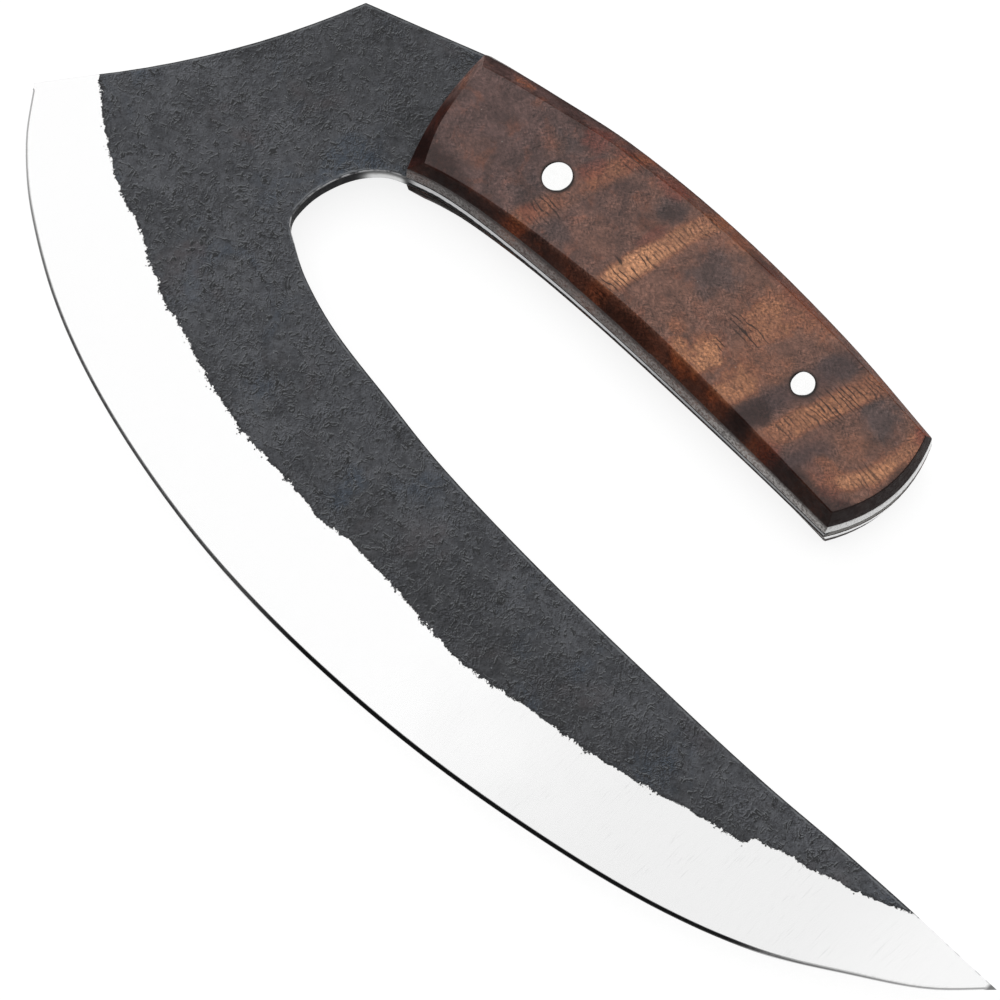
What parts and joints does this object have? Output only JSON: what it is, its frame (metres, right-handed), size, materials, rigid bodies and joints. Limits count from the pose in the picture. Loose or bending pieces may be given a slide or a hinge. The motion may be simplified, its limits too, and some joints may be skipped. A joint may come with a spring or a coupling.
{
  "type": "ulu knife",
  "caption": "Hand-forged kitchen knife with a long curved belly, a pointed end and a full tang that turns back over the blade as a pinned wooden grip.",
  "frame": {"origin": "under the middle of the bounding box, on the plane of the back scale's flat facet", "axes": "+X along the blade's chord towards the point, +Y from the cutting edge towards the grip, +Z out of the front face"},
  "size_m": [0.27, 0.124, 0.019],
  "materials": {
    "forged_steel": "dark forge scale down to a ragged border, with a bright ground bevel below it",
    "figured_wood": "oiled dark walnut with orange-brown figure across the grip, satin gloss",
    "pin_steel": "bright, sanded flush with the wood"
  },
  "bodies": {
    "root": {"blade": "forged_steel", "front_scale": "figured_wood", "back_scale": "figured_wood", "front_pin": "pin_steel", "rear_pin": "pin_steel"}
  },
  "joints": []
}
